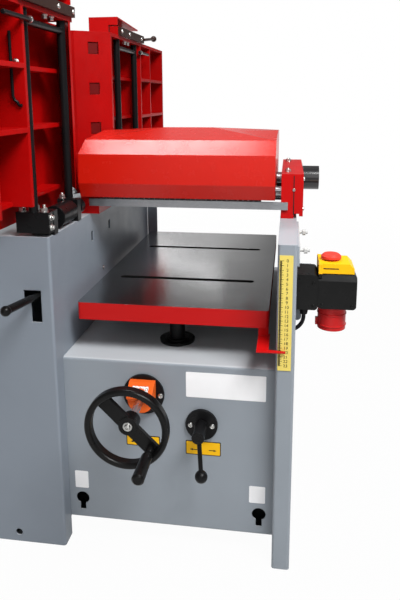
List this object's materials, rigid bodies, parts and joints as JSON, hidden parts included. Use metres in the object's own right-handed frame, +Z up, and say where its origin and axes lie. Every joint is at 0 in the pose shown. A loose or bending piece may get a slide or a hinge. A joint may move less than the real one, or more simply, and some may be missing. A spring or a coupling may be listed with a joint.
{
  "type": "combination planer thicknesser",
  "caption": "Woodworking planer thicknesser in thicknessing mode: ribbed planing tables folded up, dust hood over the cutterblock, rising table, handwheel and floor cabinet.",
  "frame": {"origin": "centre of the floor bolt pattern, on the floor, below the cutterblock axis", "axes": "+X across the machine to the operator side, +Y along the thicknessing feed, +Z up"},
  "size_m": [0.909, 1.664, 1.3],
  "materials": {
    "grey_paint": "satin",
    "red_paint": "gloss",
    "cast_iron": "satin",
    "machined_steel": "satin",
    "brass": "satin",
    "rubber": "matte",
    "black_paint": "satin",
    "black_plastic": "satin",
    "brown_plastic": "satin",
    "orange_plastic": "gloss",
    "yellow_plastic": "gloss",
    "scale_yellow": "satin",
    "red_plastic": "gloss",
    "green_plastic": "gloss"
  },
  "bodies": {
    "frame": {"bearing_cap": "black_paint", "belt_guard": "red_paint", "cabinet": "grey_paint", "chip_breaker": "cast_iron", "clamp_flange": "black_paint", "column_flanges": "black_paint", "counter_flange": "black_paint", "cut_limiter": "machined_steel", "cutter_bearings": "machined_steel", "depth_counter": "orange_plastic", "depth_scale": "scale_yellow", "drive_belts": "rubber", "drive_cover": "grey_paint", "drive_housing": "grey_paint", "feed_chains": "machined_steel", "feed_gearbox": "cast_iron", "hinge_brackets": "black_paint", "hood_rod": "machined_steel", "junction_box": "black_plastic", "kickback_rod": "machined_steel", "left_cheek": "red_paint", "lift_bearing": "cast_iron", "motor": "cast_iron", "power_inlet": "red_plastic", "right_cheek": "red_paint", "right_cheek_cover": "red_paint", "side_frame": "grey_paint", "switch_box": "black_plastic", "switch_cable": "rubber"},
    "outfeed_table": {"outfeed_table": "red_paint", "outfeed_arms": "black_paint", "outfeed_lock_box": "red_paint"},
    "infeed_table": {"infeed_table": "red_paint", "infeed_arms": "black_paint", "infeed_lock_box": "red_paint"},
    "outfeed_lock": {"outfeed_lock": "brown_plastic"},
    "infeed_lock": {"infeed_lock": "brown_plastic"},
    "hood": {"hood": "red_paint"},
    "thickness_table": {"thickness_table": "cast_iron", "guide_columns": "black_paint", "lifting_screw": "machined_steel", "depth_pointer": "red_paint"},
    "handwheel": {"handwheel": "black_plastic", "handwheel_shaft": "machined_steel"},
    "crank_grip": {"crank_grip": "black_plastic"},
    "lift_wheel": {"lift_wheel": "brass"},
    "clamp_lever": {"clamp_lever": "black_paint"},
    "feed_lever": {"feed_lever": "black_plastic"},
    "cutterblock": {"cutterblock": "machined_steel", "knives": "machined_steel", "knife_wedges": "cast_iron", "cutter_pulley": "cast_iron"},
    "motor_pulley": {"motor_pulley": "cast_iron"},
    "feed_sprockets": {"feed_sprockets": "machined_steel"},
    "infeed_roller": {"infeed_roller": "machined_steel"},
    "outfeed_roller": {"outfeed_roller": "rubber"},
    "kickback_fingers": {"kickback_fingers": "brass"},
    "estop_lid": {"estop_lid": "yellow_plastic"},
    "estop_button": {"estop_button": "red_plastic"},
    "start_button": {"start_button": "green_plastic"}
  },
  "joints": [
    {"name": "table_lift", "type": "slide", "parent": "frame", "child": "thickness_table", "axis": [0, 0, 1], "range_m": [-0.034, 0.19]},
    {"name": "handwheel_turn", "type": "hinge", "parent": "frame", "child": "handwheel", "pos_m": [0.051, -0.55, 0.389], "axis": [0, -1, 0], "range_deg": [-3070, 17110]},
    {"name": "lift_wheel_turn", "type": "hinge", "parent": "frame", "child": "lift_wheel", "pos_m": [0.105, 0, 0.389], "axis": [0, 0, 1], "range_deg": [-1030, 5710]},
    {"name": "crank_grip_spin", "type": "hinge", "parent": "handwheel", "child": "crank_grip", "pos_m": [0.09767, -0.598, 0.34233], "axis": [0, 1, 0], "continuous": true},
    {"name": "clamp_swing", "type": "hinge", "parent": "frame", "child": "clamp_lever", "pos_m": [0.185, -0.404, 0.323], "axis": [0, 1, 0], "range_deg": [-45, 45]},
    {"name": "feed_lever_swing", "type": "hinge", "parent": "frame", "child": "feed_lever", "pos_m": [-0.165, -0.33, 0.619], "axis": [1, 0, 0], "range_deg": [0, 23]},
    {"name": "cutterblock_spin", "type": "hinge", "parent": "frame", "child": "cutterblock", "pos_m": [0.093, 0, 0.841], "axis": [1, 0, 0], "continuous": true},
    {"name": "motor_spin", "type": "hinge", "parent": "frame", "child": "motor_pulley", "pos_m": [-0.19, 0, 0.21], "axis": [1, 0, 0], "continuous": true},
    {"name": "feed_drive_spin", "type": "hinge", "parent": "frame", "child": "feed_sprockets", "pos_m": [-0.15, 0.16, 0.64], "axis": [1, 0, 0], "continuous": true},
    {"name": "infeed_roller_spin", "type": "hinge", "parent": "frame", "child": "infeed_roller", "pos_m": [0.093, -0.082, 0.808], "axis": [1, 0, 0], "continuous": true},
    {"name": "outfeed_roller_spin", "type": "hinge", "parent": "frame", "child": "outfeed_roller", "pos_m": [0.093, 0.082, 0.808], "axis": [1, 0, 0], "continuous": true},
    {"name": "fingers_lift", "type": "hinge", "parent": "frame", "child": "kickback_fingers", "pos_m": [0.093, -0.152, 0.83], "axis": [1, 0, 0], "range_deg": [0, 30]},
    {"name": "hood_open", "type": "hinge", "parent": "frame", "child": "hood", "pos_m": [0.093, 0.196, 0.806], "axis": [-1, 0, 0], "range_deg": [0, 60]},
    {"name": "outfeed_table_fold", "type": "hinge", "parent": "frame", "child": "outfeed_table", "pos_m": [-0.158, -0.34, 0.79], "axis": [0, 1, 0], "range_deg": [-3, 1]},
    {"name": "infeed_table_fold", "type": "hinge", "parent": "frame", "child": "infeed_table", "pos_m": [-0.158, 0.34, 0.79], "axis": [0, 1, 0], "range_deg": [-3, 1]},
    {"name": "outfeed_lock_lift", "type": "hinge", "parent": "outfeed_table", "child": "outfeed_lock", "pos_m": [-0.16, -0.21, 1.258], "axis": [-1, 0, 0], "range_deg": [0, 60]},
    {"name": "infeed_lock_lift", "type": "hinge", "parent": "infeed_table", "child": "infeed_lock", "pos_m": [-0.16, 0.21, 1.258], "axis": [1, 0, 0], "range_deg": [0, 60]},
    {"name": "lid_open", "type": "hinge", "parent": "frame", "child": "estop_lid", "pos_m": [0.4415, -0.337, 0.7008], "axis": [0, -1, 0], "range_deg": [0, 95]},
    {"name": "estop_press", "type": "slide", "parent": "estop_lid", "child": "estop_button", "axis": [0, 0, -1], "range_m": [0, 0.0035], "stiffness_N_per_m": 400, "springref_m": -0.004},
    {"name": "start_press", "type": "slide", "parent": "frame", "child": "start_button", "axis": [0, 0, -1], "range_m": [0, 0.003], "stiffness_N_per_m": 400, "springref_m": -0.004}
  ],
  "couplings": [
    {"joint": "handwheel_turn", "follows": "table_lift", "rad_per_m": 1570.8},
    {"joint": "lift_wheel_turn", "follows": "table_lift", "rad_per_m": 523.6},
    {"joint": "motor_spin", "follows": "cutterblock_spin", "ratio": 0.81818},
    {"joint": "infeed_roller_spin", "follows": "feed_drive_spin", "ratio": 1},
    {"joint": "outfeed_roller_spin", "follows": "feed_drive_spin", "ratio": 1}
  ]
}
